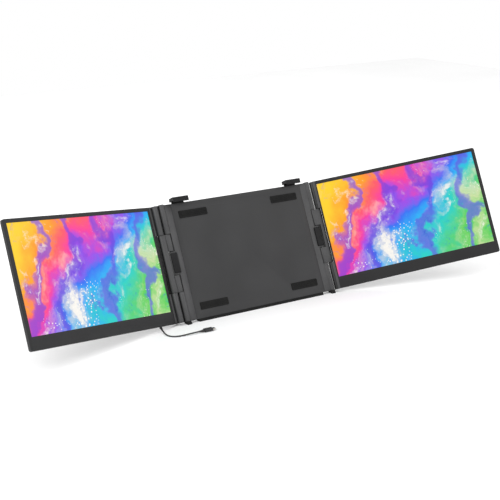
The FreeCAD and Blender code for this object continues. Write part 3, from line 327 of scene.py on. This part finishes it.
def makeLead(grip):
    data = bpy.data.curves.new("cableFlex", "CURVE")
    data.dimensions = "3D"
    spline = data.splines.new("NURBS")
    spline.points.add(len(lead["points"]) - 1)
    for point, spot in zip(spline.points, lead["points"]):
        point.co = (*spot, 1)
        point.radius = lead["diameter"] / 2
    spline.order_u = 3
    spline.use_endpoint_u = True
    spline.resolution_u = 12
    data.bevel_depth = 1.0  # scaled by each point's radius
    data.bevel_resolution = 5
    data.use_fill_caps = True
    flex = bpy.data.objects.new("cableFlex", data)
    bpy.context.scene.collection.objects.link(flex)
    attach(flex, "left_screen")
    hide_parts("cable")
    return flex


# Plug at the lead's end: ribbed relief and a rounded grip

plug = {
    "tail": Vector(lead["points"][-1]),
    "turn": math.radians(-0.48),
    "relief": 9.0 * mm,
    "tailRadius": 1.7 * mm,
    "noseRadius": 2.7 * mm,
    "ribs": 5,
    "ribDeep": 0.35 * mm,
    "ribSteps": 4,
    "long": 16.5 * mm,
    "wide": 10.0 * mm,
    "high": 6.2 * mm,
    "round": 2.7 * mm,
    "rim": 0.9 * mm,
    "gripLines": 4,
    "lineDeep": 0.25 * mm,
    "edge": 0.35 * mm,
}


def makePlug():
    tail = plug["tail"]
    bpy.ops.object.select_all(action="DESELECT")
    bpy.ops.mesh.primitive_circle_add(
        vertices=32, radius=plug["tailRadius"], fill_type="NGON", location=tail, rotation=(0, math.pi / 2, 0)
    )
    relief = bpy.context.object
    bpy.ops.object.transform_apply(location=True, rotation=True, scale=True)
    bpy.ops.object.mode_set(mode="EDIT")
    bpy.ops.mesh.select_all(action="SELECT")
    radius = plug["tailRadius"]
    stations = plug["ribSteps"] * plug["ribs"]
    step = plug["relief"] / stations
    for station in range(1, stations + 1):
        target = plug["tailRadius"] + (plug["noseRadius"] - plug["tailRadius"]) * station / stations
        if station % plug["ribSteps"] in (2, 3):
            target -= plug["ribDeep"]
        pull(step, 0, 0)
        centre = (tail.x + station * step, tail.y, tail.z)
        bpy.ops.transform.resize(value=(1, target / radius, target / radius), center_override=centre)
        radius = target
    bpy.ops.mesh.select_all(action="SELECT")
    bpy.ops.mesh.normals_make_consistent(inside=False)
    bpy.ops.object.mode_set(mode="OBJECT")
    smooth(relief, angle=40)

    gripLow = tail + Vector((plug["relief"], -plug["wide"] / 2, -plug["high"] / 2))
    gripHigh = gripLow + Vector((plug["long"], plug["wide"], plug["high"]))
    grip = startBox("plugGrip", gripLow, gripHigh)
    pickEdges(grip, lambda spot, way: abs(way.x) > 0.9)
    bpy.ops.mesh.bevel(offset=plug["round"], segments=6)
    pickFaces(grip, lambda spot, normal: normal.z > 0.99)
    bpy.ops.mesh.inset(thickness=plug["rim"])
    cutGrooves(
        grip,
        lambda spot, normal: normal.z > 0.99 and abs(spot.y - tail.y) < hair
        and gripLow.x + plug["rim"] < spot.x < gripHigh.x - plug["rim"],
        start=Vector((gripLow.x + plug["rim"], tail.y, gripHigh.z)),
        way=Vector((1, 0, 0)),
        long=plug["long"] - 2 * plug["rim"],
        grooves=plug["gripLines"],
        sink=(0, 0, -plug["lineDeep"]),
    )
    bpy.ops.object.mode_set(mode="OBJECT")
    easeEdges(grip, plug["edge"], angle=50)
    smooth(grip)

    relief.select_set(True)
    grip.select_set(True)
    bpy.context.view_layer.objects.active = grip
    bpy.ops.object.join()
    bpy.ops.transform.rotate(value=-plug["turn"], orient_axis="Z", center_override=tail)
    bpy.ops.object.transform_apply(location=True, rotation=True, scale=True)
    settle(grip, "left_screen", "plug_body")
    return grip


# Mouldings whose CAD shape is right: a copy of each gets eased edges

flatAngle = math.radians(0.5)  # faces that meet flatter than this become one
mouldings = [
    {"node": "_bezel", "body": "_screen", "slot": "bezel_plastic", "edge": 0.35 * mm, "mergeFlats": True},
    {"node": "_hinge_strip", "body": "_screen", "slot": "hinge_grey", "edge": 0.3 * mm, "mergeFlats": True},
    {"node": "_hinge_column", "body": "_column", "slot": "hinge_grey", "edge": 0.3 * mm, "mergeFlats": False},
    {"node": "_link", "body": "_link", "slot": "hinge_grey", "edge": 0.3 * mm, "mergeFlats": False},
    {"node": "_side_clip", "body": "_side_clip", "slot": "clip_black", "edge": 0.25 * mm, "mergeFlats": True},
]
frontPanel = {"slot": "shell_grey", "edge": 0.3 * mm, "mergeFlats": True}
kickstandLeg = {"slot": "shell_grey", "edge": 0.5 * mm, "mergeFlats": True}

# the left barrels are a little fuller than the solids, so that the seam between them is fine
fullBarrels = {
    "left_hinge_strip": {"joint": "left_screen_hinge", "radius": 5.4 * mm, "full": 6.6 * mm},
    "left_hinge_column": {"joint": "left_link_hinge", "radius": 6.0 * mm, "full": 6.8 * mm},
}


def fillBarrel(piece, barrel):
    # with the lean taken out, a barrel's corners are those at its radius from the hinge's axis
    turn = Matrix.Rotation(stance["lean"], 3, "X")
    axis = turn @ Vector(next(row["pos_m"] for row in frame["joints"] if row["name"] == barrel["joint"]))
    bpy.ops.mesh.select_all(action="SELECT")
    bpy.ops.transform.rotate(value=-stance["lean"], orient_axis="X", center_override=(0, 0, 0))
    bpy.ops.mesh.select_mode(type="VERT")
    bpy.ops.mesh.select_all(action="DESELECT")
    shape = bmesh.from_edit_mesh(piece.data)
    for corner in shape.verts:
        reach = math.hypot(corner.co.x - axis.x, corner.co.y - axis.y)
        corner.select_set(abs(reach - barrel["radius"]) < hair)
    shape.select_flush(True)
    bmesh.update_edit_mesh(piece.data)
    grow = barrel["full"] / barrel["radius"]
    bpy.ops.transform.resize(value=(grow, grow, 1), center_override=(axis.x, axis.y, 0))
    bpy.ops.mesh.select_all(action="SELECT")
    bpy.ops.transform.rotate(value=stance["lean"], orient_axis="X", center_override=(0, 0, 0))


def makeMoulding(node, body, moulding):
    piece = bpy.data.objects.new(node + "Moulding", cadNodes[node].data.copy())
    bpy.context.scene.collection.objects.link(piece)
    selectOnly(piece)
    bpy.ops.object.mode_set(mode="EDIT")
    bpy.ops.mesh.select_all(action="SELECT")
    bpy.ops.mesh.remove_doubles(threshold=weld)
    if node in fullBarrels:
        fillBarrel(piece, fullBarrels[node])
    if moulding["mergeFlats"]:
        bpy.ops.mesh.dissolve_limited(angle_limit=flatAngle)
    bpy.ops.object.mode_set(mode="OBJECT")
    easeEdges(piece, moulding["edge"], clamp=False)
    smooth(piece)
    settle(piece, body, node)


makeCamera()
print("camera made")
makeLidPads()
print("lid pads made")
for side in sides:
    makeTopClip(side)
print("top clips made")
for side in sides:
    for moulding in mouldings:
        makeMoulding(side + moulding["node"], side + moulding["body"], moulding)
makeMoulding("frame_front_panel", "frame", frontPanel)
makeMoulding("kickstand_leg", "kickstand", kickstandLeg)
print("mouldings eased")
cableFlex = makeLead(makePlug())
print("lead and plug made")


# Materials


def linearColour(hexValue):
    channels = [int(hexValue[i:i + 2], 16) / 255 for i in (1, 3, 5)]
    return (*[c / 12.92 if c <= 0.04045 else ((c + 0.055) / 1.055) ** 2.4 for c in channels], 1)


def addNode(tree, kind, inputs=None, **settings):
    made = tree.nodes.new(kind)
    for name, value in settings.items():
        setattr(made, name, value)
    for name, value in (inputs or {}).items():
        if isinstance(value, bpy.types.NodeSocket):
            tree.links.new(value, made.inputs[name])
        else:
            made.inputs[name].default_value = value
    return made


def startMaterial(name, **sockets):
    material = bpy.data.materials.new(name)
    material.use_nodes = True
    tree = material.node_tree
    tree.nodes.clear()
    shader = addNode(tree, "ShaderNodeBsdfPrincipled")
    for socket, value in sockets.items():
        shader.inputs[socket.replace("_", " ")].default_value = value
    addNode(tree, "ShaderNodeOutputMaterial", {"Surface": shader.outputs["BSDF"]})
    place = addNode(tree, "ShaderNodeTexCoord")
    return material, tree, shader, place.outputs["Object"]


def fillRamp(ramp, stops):
    elements = ramp.color_ramp.elements
    while len(elements) < len(stops):
        elements.new(0.5)
    for element, (position, hexValue) in zip(elements, stops):
        element.position = position
        element.color = linearColour(hexValue)


def roughen(tree, shader, place, size, low, high):
    # handling and moulding leave the gloss a little uneven
    cloud = addNode(tree, "ShaderNodeTexNoise", {"Vector": place, "Scale": 1 / size, "Detail": 3.0})
    rough = addNode(
        tree, "ShaderNodeMapRange", {"Value": cloud.outputs["Fac"], "To Min": low, "To Max": high}
    )
    tree.links.new(rough.outputs["Result"], shader.inputs["Roughness"])


def grain(tree, shader, place, size, height, strength=1.0):
    speck = addNode(tree, "ShaderNodeTexNoise", {"Vector": place, "Scale": 1 / size, "Detail": 2.0})
    bump = addNode(
        tree,
        "ShaderNodeBump",
        {"Height": speck.outputs["Fac"], "Distance": height, "Strength": strength},
    )
    tree.links.new(bump.outputs["Normal"], shader.inputs["Normal"])


# random tone between two colours; when a reach is given, painted shade also darkens the colour in joints and
# troughs
def tint(tree, shader, place, size, dark, pale, paintedShadeReach=None):
    cloud = addNode(tree, "ShaderNodeTexNoise", {"Vector": place, "Scale": 1 / size, "Detail": 4.0})
    ramp = addNode(tree, "ShaderNodeValToRGB", {"Fac": cloud.outputs["Fac"]})
    fillRamp(ramp, [(0.35, dark), (0.65, pale)])
    colour = ramp.outputs["Color"]
    if paintedShadeReach:
        # painted shade: the colour is darkened towards black where ambient occlusion finds joints and troughs
        # nearby, in place of the shade that falls there
        shade = addNode(tree, "ShaderNodeAmbientOcclusion", {"Distance": paintedShadeReach}, samples=8)
        depth = addNode(tree, "ShaderNodeMath", {0: shade.outputs["AO"], 1: 2.5}, operation="POWER")
        shaded = addNode(
            tree,
            "ShaderNodeMix",
            {"Factor": depth.outputs["Value"], "A": (0.0, 0.0, 0.0, 1), "B": colour},
            data_type="RGBA",
        )
        colour = shaded.outputs["Result"]
    tree.links.new(colour, shader.inputs["Base Color"])


def mouldedAbs():
    # ABS moulded against a spark-eroded tool: dark, even, its pores swallow part of the sheen
    material, tree, shader, place = startMaterial(
        "moulded ABS, spark-eroded", IOR=1.54, Specular_IOR_Level=0.3
    )
    tint(tree, shader, place, 40 * mm, "#151516", "#1b1b1c")
    roughen(tree, shader, place, 25 * mm, 0.40, 0.52)
    # the real grain is 0.1 mm; drawn at 0.7 mm so that it shows
    grain(tree, shader, place, 0.7 * mm, 0.05 * mm, 0.5)
    return material


def softTouchPaint():
    # polycarbonate with matt grey paint: fine sparkle-free grain, soft broad highlights
    material, tree, shader, place = startMaterial("polycarbonate, matt grey paint", IOR=1.50)
    # painted shade: joints and troughs within 12 mm are darkened in the grey base colour
    tint(tree, shader, place, 30 * mm, "#363637", "#3e3e3f", paintedShadeReach=12 * mm)
    roughen(tree, shader, place, 18 * mm, 0.44, 0.56)
    # paint texture of 0.3 mm; drawn at 0.9 mm so that it shows
    grain(tree, shader, place, 0.9 * mm, 0.08 * mm, 0.6)
    return material


def texturedShell():
    # ABS rear housings with a coarser leather-like mould texture
    material, tree, shader, place = startMaterial(
        "moulded ABS, etched texture", IOR=1.54, Specular_IOR_Level=0.4
    )
    tint(tree, shader, place, 60 * mm, "#202021", "#272728")
    roughen(tree, shader, place, 30 * mm, 0.44, 0.60)
    # etched pattern of 0.5 mm; drawn at 1.1 mm so that it shows
    grain(tree, shader, place, 1.1 * mm, 0.12 * mm, 0.7)
    return material


def filledNylon():
    # glass-filled nylon clips: near black, slightly streaked by the fibres
    material, tree, shader, place = startMaterial("nylon, glass-filled", IOR=1.53, Specular_IOR_Level=0.15)
    # painted shade: joints and recesses within 6 mm are darkened in the black base colour
    tint(tree, shader, place, 12 * mm, "#141415", "#1a1a1b", paintedShadeReach=6 * mm)
    roughen(tree, shader, place, 8 * mm, 0.38, 0.52)
    grain(tree, shader, place, 0.8 * mm, 0.05 * mm, 0.5)
    return material


def siliconeRubber():
    # silicone pads: dull black that picks up a little dust
    material, tree, shader, place = startMaterial(
        "silicone rubber, moulded", IOR=1.43, Specular_IOR_Level=0.3
    )
    tint(tree, shader, place, 15 * mm, "#0c0c0c", "#141413")
    roughen(tree, shader, place, 10 * mm, 0.68, 0.84)
    grain(tree, shader, place, 0.8 * mm, 0.06 * mm, 0.6)
    return material


def turnedSteel():
    # stainless pins and rails: fine lines round and along, crisp highlights
    material, tree, shader, place = startMaterial("stainless steel, ground", Metallic=1.0)
    tint(tree, shader, place, 20 * mm, "#a9aaab", "#bcbdbe")
    # grinding lines of 0.05 mm; drawn at 0.5 mm so that they show
    stretch = addNode(tree, "ShaderNodeMapping", {"Vector": place, "Scale": (1.0, 1.0, 14.0)})
    roughen(tree, shader, stretch.outputs["Vector"], 7 * mm, 0.22, 0.36)
    grain(tree, shader, stretch.outputs["Vector"], 7 * mm, 0.01 * mm, 0.4)
    return material


def blackenedSteel():
    # screws blackened in oil: dark metal with brighter worn spots
    material, tree, shader, place = startMaterial("steel, black oxide", Metallic=1.0)
    tint(tree, shader, place, 3 * mm, "#2a2a2b", "#3f3f41")
    roughen(tree, shader, place, 2 * mm, 0.30, 0.46)
    return material


def rolledAluminium():
    # aluminium sheet with rolling lines
    material, tree, shader, place = startMaterial("aluminium sheet, rolled", Metallic=1.0)
    tint(tree, shader, place, 25 * mm, "#b9babb", "#c8c9ca")
    stretch = addNode(tree, "ShaderNodeMapping", {"Vector": place, "Scale": (0.05, 1.0, 1.0)})
    roughen(tree, shader, stretch.outputs["Vector"], 0.6 * mm, 0.28, 0.42)
    return material


def nickelPlate():
    # nickel-plated plug and socket shells: bright, faintly clouded
    material, tree, shader, place = startMaterial("brass, nickel-plated", Metallic=1.0)
    tint(tree, shader, place, 5 * mm, "#b4b1aa", "#c6c3bc")
    roughen(tree, shader, place, 3 * mm, 0.16, 0.28)
    return material


def solderMask():
    # fibreglass board under green lacquer
    material, tree, shader, place = startMaterial("fibreglass board, green lacquer", IOR=1.50)
    tint(tree, shader, place, 4 * mm, "#123a24", "#1a4d30")
    roughen(tree, shader, place, 6 * mm, 0.28, 0.40)
    return material


def whiteAcrylic():
    # light guide: milky acrylic
    material, tree, shader, place = startMaterial("acrylic, milky", IOR=1.49)
    tint(tree, shader, place, 30 * mm, "#d4d6d8", "#e2e4e5")
    roughen(tree, shader, place, 20 * mm, 0.30, 0.42)
    return material


def pvcJacket():
    # PVC jacket of the lead: black, slightly waxy
    material, tree, shader, place = startMaterial("PVC jacket, extruded", IOR=1.53)
    tint(tree, shader, place, 6 * mm, "#121213", "#1a1a1b")
    roughen(tree, shader, place, 5 * mm, 0.34, 0.46)
    grain(tree, shader, place, 0.9 * mm, 0.03 * mm, 0.4)
    return material


# sizes are those of the real patterns on the display, and one unit of the picture is its width
picture = {
    "wide": 344.2 * mm,
    "strength": 1.0,
    "drift": 163.9 * mm,
    "bend": 0.85,
    "slant": (0.75, 0.0, -0.8),
    "reach": 0.62,
    "waves": [
        (0.02, "#ffd21e"),
        (0.13, "#ff9a1a"),
        (0.22, "#ff5566"),
        (0.31, "#f8359b"),
        (0.41, "#9a45e6"),
        (0.50, "#2b6df2"),
        (0.61, "#16aaf5"),
        (0.74, "#10cfc4"),
        (0.88, "#55cf55"),
    ],
    "wash": {"size": 101.24 * mm, "from": 0.50, "to": 0.72, "most": 0.55, "colour": "#ffe9c8"},
    "ribbon": {"size": 299.3 * mm, "from": 0.72, "to": 0.98, "most": 0.70, "colour": "#5a35dc"},
    "fleck": {"size": 24.586 * mm, "from": 0.42, "to": 0.24, "most": 0.75, "colour": "#1d49cf"},
    "streak": {"size": 57.37 * mm, "from": 0.585, "to": 0.70, "most": 0.85, "colour": "#fffaf0"},
    "drops": {"size": 5.2152 * mm, "from": 0.0, "to": 0.12, "most": 0.90, "colour": "#fffaf0"},
    "shower": {"size": 127.48 * mm, "from": 0.46, "to": 0.72, "most": 0.40},
}


def litPanel(side):
    # liquid crystal behind anti-glare film, showing wet paint: waves of colour, pale washes,
    # ribbons of violet, and spray and drops thrown over them
    material, tree, shader, place = startMaterial(
        "LCD panel, lit, " + side, Base_Color=(0.0, 0.0, 0.0, 1), Roughness=0.34, IOR=1.4
    )
    low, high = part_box(side + "_lcd_panel")
    lean = Matrix.Rotation(-stance["lean"], 3, "X")
    turn = lean @ Matrix.Rotation(-sides[side] * stance["screenAngle"], 3, "Z")
    wide = picture["wide"]
    local = addNode(
        tree,
        "ShaderNodeMapping",
        {
            "Vector": place,
            "Location": (low + high) / 2,
            "Rotation": turn.to_euler(),
            "Scale": (wide, wide, wide),
        },
        vector_type="TEXTURE",
    ).outputs["Vector"]

    # slow noise bends the waves, a finer one feathers their edges
    drift = addNode(
        tree,
        "ShaderNodeTexNoise",
        {"Vector": local, "Scale": wide / picture["drift"], "Detail": 5.0, "Roughness": 0.55},
    )
    centred = addNode(
        tree,
        "ShaderNodeVectorMath",
        {0: drift.outputs["Color"], 1: (0.5, 0.5, 0.5)},
        operation="SUBTRACT",
    )
    bent = addNode(
        tree,
        "ShaderNodeVectorMath",
        {0: centred.outputs["Vector"], 1: [picture["bend"]] * 3, 2: local},
        operation="MULTIPLY_ADD",
    ).outputs["Vector"]
    slant = addNode(
        tree, "ShaderNodeVectorMath", {0: bent, 1: picture["slant"]}, operation="DOT_PRODUCT"
    )
    run = addNode(
        tree,
        "ShaderNodeMapRange",
        {"Value": slant.outputs["Value"], "From Min": -picture["reach"], "From Max": picture["reach"]},
        interpolation_type="SMOOTHSTEP",
    )
    waves = addNode(tree, "ShaderNodeValToRGB", {"Fac": run.outputs["Result"]})
    fillRamp(waves, picture["waves"])

    # thrown drops gather in two loose showers
    shower = addNode(
        tree,
        "ShaderNodeTexNoise",
        {"Vector": local, "Scale": wide / picture["shower"]["size"], "Detail": 2.0, "Roughness": 0.5},
    )
    dropSize = addNode(
        tree,
        "ShaderNodeMapRange",
        {
            "Value": shower.outputs["Fac"],
            "From Min": picture["shower"]["from"],
            "From Max": picture["shower"]["to"],
            "To Max": picture["shower"]["most"],
        },
        interpolation_type="SMOOTHSTEP",
    )
    cells = addNode(
        tree,
        "ShaderNodeTexVoronoi",
        {"Vector": local, "Scale": wide / picture["drops"]["size"], "Randomness": 1.0},
    )
    drops = addNode(
        tree,
        "ShaderNodeMath",
        {0: dropSize.outputs["Result"], 1: cells.outputs["Distance"]},
        operation="SUBTRACT",
    )

    # pale washes where the paint ran thin, violet and blue ribbons between the waves,
    # deep pigment that settles in flecks, and streaks where water lifts it
    wash = addNode(
        tree,
        "ShaderNodeTexNoise",
        {"Vector": bent, "Scale": wide / picture["wash"]["size"], "Detail": 6.0, "Roughness": 0.6},
    )
    ribbon = addNode(
        tree,
        "ShaderNodeTexWave",
        {
            "Vector": bent,
            "Scale": wide / picture["ribbon"]["size"],
            "Distortion": 5.0,
            "Detail": 3.0,
            "Detail Scale": 1.8,
        },
    )
    fleck = addNode(
        tree,
        "ShaderNodeTexNoise",
        {"Vector": bent, "Scale": wide / picture["fleck"]["size"], "Detail": 9.0, "Roughness": 0.68},
    )
    streak = addNode(
        tree,
        "ShaderNodeTexNoise",
        {"Vector": bent, "Scale": wide / picture["streak"]["size"], "Detail": 9.0, "Roughness": 0.62},
    )
    colour = waves.outputs["Color"]
    for name, value in (
        ("wash", wash.outputs["Fac"]),
        ("ribbon", ribbon.outputs["Fac"]),
        ("fleck", fleck.outputs["Fac"]),
        ("streak", streak.outputs["Fac"]),
        ("drops", drops.outputs["Value"]),
    ):
        layer = picture[name]
        amount = addNode(
            tree,
            "ShaderNodeMapRange",
            {"Value": value, "From Min": layer["from"], "From Max": layer["to"], "To Max": layer["most"]},
            interpolation_type="SMOOTHSTEP",
        )
        laid = addNode(
            tree,
            "ShaderNodeMix",
            {"Factor": amount.outputs["Result"], "A": colour, "B": linearColour(layer["colour"])},
            data_type="RGBA",
        )
        colour = laid.outputs["Result"]
    tree.links.new(colour, shader.inputs["Emission Color"])
    shader.inputs["Emission Strength"].default_value = picture["strength"]
    return material


finishes = {
    "abs": mouldedAbs(),
    "paint": softTouchPaint(),
    "shell": texturedShell(),
    "nylon": filledNylon(),
    "rubber": siliconeRubber(),
    "steel": turnedSteel(),
    "black steel": blackenedSteel(),
    "aluminium": rolledAluminium(),
    "nickel": nickelPlate(),
    "board": solderMask(),
    "acrylic": whiteAcrylic(),
    "pvc": pvcJacket(),
}
for side in sides:
    finishes["panel " + side] = litPanel(side)

# the first word that a node's name holds decides its finish
finishOf = [
    ("right_lcd_panel", "panel right"),
    ("left_lcd_panel", "panel left"),
    ("backlight", "acrylic"),
    ("bezel", "abs"),
    ("control_board", "board"),
    ("ports", "nickel"),
    ("plug_tongue", "nickel"),
    ("core_plate", "aluminium"),
    ("_pad", "rubber"),
    ("foot", "rubber"),
    ("screws", "black steel"),
    ("rails", "steel"),
    ("pins", "steel"),
    ("plates", "steel"),
    ("clip", "nylon"),
    ("button", "nylon"),
    ("switches", "nylon"),
    ("cover", "shell"),
    ("shell", "shell"),
    ("front_panel", "shell"),
    ("kickstand", "shell"),
    ("cable", "pvc"),
    ("plug", "pvc"),
    ("", "paint"),
]


def dress(piece, finish):
    piece.data.materials.clear()
    piece.data.materials.append(finishes[finish])


def finishFor(name):
    return next(finish for word, finish in finishOf if word in name)


for name, cadNode in cadNodes.items():
    dress(cadNode, finishFor(name))
for piece, node in madePieces:
    dress(piece, finishFor(node))
dress(cableFlex, "pvc")
print("materials made")


# Table and light

studio = {
    "table": 6.0,
    "lamps": [
        {"name": "keyLamp", "place": (-2.3, -1.4, 2.2), "size": 2.2, "power": 44},
        {"name": "fillLamp", "place": (1.8, -1.9, 1.6), "size": 2.0, "power": 10},
        {"name": "rimLamp", "place": (0.4, 1.8, 2.2), "size": 1.8, "power": 20},
    ],
    "aim": (0.0, 0.0, 0.1),
    "sky": "#ffffff",
    "skyStrength": 1.0,
}


def makeStudio():
    bpy.ops.mesh.primitive_plane_add(size=studio["table"], location=(0, 0, 0))
    table = bpy.context.object
    table.name = "table"
    material, tree, shader, place = startMaterial("painted board, matt white", Roughness=0.85)
    tint(tree, shader, place, 400 * mm, "#f3f3f3", "#f6f6f6")
    table.data.materials.append(material)
    for lamp in studio["lamps"]:
        data = bpy.data.lights.new(lamp["name"], "AREA")
        data.shape = "DISK"
        data.size = lamp["size"]
        data.energy = lamp["power"]
        light = bpy.data.objects.new(lamp["name"], data)
        bpy.context.scene.collection.objects.link(light)
        light.location = lamp["place"]
        away = Vector(studio["aim"]) - Vector(lamp["place"])
        light.rotation_euler = away.to_track_quat("-Z", "Y").to_euler()
    world = bpy.data.worlds.new("studio")
    world.use_nodes = True
    sky = world.node_tree.nodes["Background"]
    sky.inputs["Color"].default_value = linearColour(studio["sky"])
    sky.inputs["Strength"].default_value = studio["skyStrength"]
    bpy.context.scene.world = world
    # a catalogue picture: whites stay white and the displays keep their colours
    bpy.context.scene.view_settings.view_transform = "Standard"


makeStudio()
print("table and lamps made")

bpy.context.view_layer.update()
